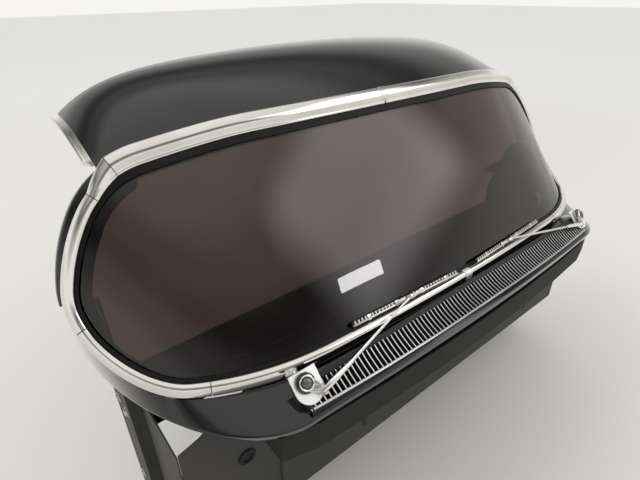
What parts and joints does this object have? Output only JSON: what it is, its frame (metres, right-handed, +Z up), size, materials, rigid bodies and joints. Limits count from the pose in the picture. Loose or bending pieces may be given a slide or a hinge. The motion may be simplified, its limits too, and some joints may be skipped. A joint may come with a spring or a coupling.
{
  "type": "car windshield and cowl assembly",
  "caption": "Wraparound windshield in its bright frame on a painted cowl with a slatted air vent and a pair of wipers that sweep apart.",
  "frame": {"origin": "midway between the two body bolts, on the underside of the cowl's feet", "axes": "+X to the car's left, -Y to its front, +Z up"},
  "size_m": [1.503, 0.6516, 1.033],
  "materials": {
    "paint": "gloss",
    "undercoat": "satin",
    "bright": "polished",
    "grille": "satin",
    "glass": "polished",
    "seal": "matt",
    "dash": "satin"
  },
  "bodies": {
    "body": {"cowl_top_panel": "paint", "vent_grille": "grille", "plenum_box": "undercoat", "firewall": "undercoat", "toe_board": "undercoat", "cowl_inner_panel": "dash", "header": "undercoat", "roof_front_panel": "paint", "windshield_glass": "glass", "windshield_seal": "seal", "instrument_panel": "dash", "instrument_cluster": "grille", "dash_strip": "bright", "wiper_motor": "undercoat", "lower_joint_cover": "bright", "upper_joint_cover": "bright", "cowl_side_left": "paint", "cowl_side_right": "paint", "windshield_pillar_left": "paint", "windshield_pillar_right": "paint", "pillar_trim_left": "bright", "pillar_trim_right": "bright", "drip_rail_left": "bright", "drip_rail_right": "bright", "lower_moulding_left": "bright", "lower_moulding_right": "bright", "corner_moulding_left": "bright", "corner_moulding_right": "bright", "side_moulding_left": "bright", "side_moulding_right": "bright", "upper_corner_moulding_left": "bright", "upper_corner_moulding_right": "bright", "upper_moulding_left": "bright", "upper_moulding_right": "bright", "wiper_plate_left": "bright", "wiper_plate_right": "bright"},
    "wiper_left": {"wiper_head_left": "bright"},
    "wiper_left_arm": {"wiper_arm_left": "bright", "wiper_blade_left": "bright", "wiper_rubber_left": "seal"},
    "wiper_right": {"wiper_head_right": "bright"},
    "wiper_right_arm": {"wiper_arm_right": "bright", "wiper_blade_right": "bright", "wiper_rubber_right": "seal"}
  },
  "joints": [
    {"name": "wiper_left_sweep", "type": "hinge", "parent": "body", "child": "wiper_left", "pos_m": [0.478, -0.3396, 0.5861], "axis": [-0.076, 0.7698, -0.6338], "range_deg": [0, 85]},
    {"name": "wiper_left_lift", "type": "hinge", "parent": "wiper_left", "child": "wiper_left_arm", "pos_m": [0.45659, -0.36833, 0.5806], "axis": [0.2054, 0.6341, 0.7455], "range_deg": [0, 50]},
    {"name": "wiper_right_sweep", "type": "hinge", "parent": "body", "child": "wiper_right", "pos_m": [-0.478, -0.3396, 0.5861], "axis": [-0.076, -0.7698, 0.6338], "range_deg": [0, 85]},
    {"name": "wiper_right_lift", "type": "hinge", "parent": "wiper_right", "child": "wiper_right_arm", "pos_m": [-0.45659, -0.36833, 0.5806], "axis": [0.2054, -0.6341, -0.7455], "range_deg": [0, 50]}
  ],
  "couplings": [
    {"joint": "wiper_right_sweep", "follows": "wiper_left_sweep", "ratio": 1}
  ]
}
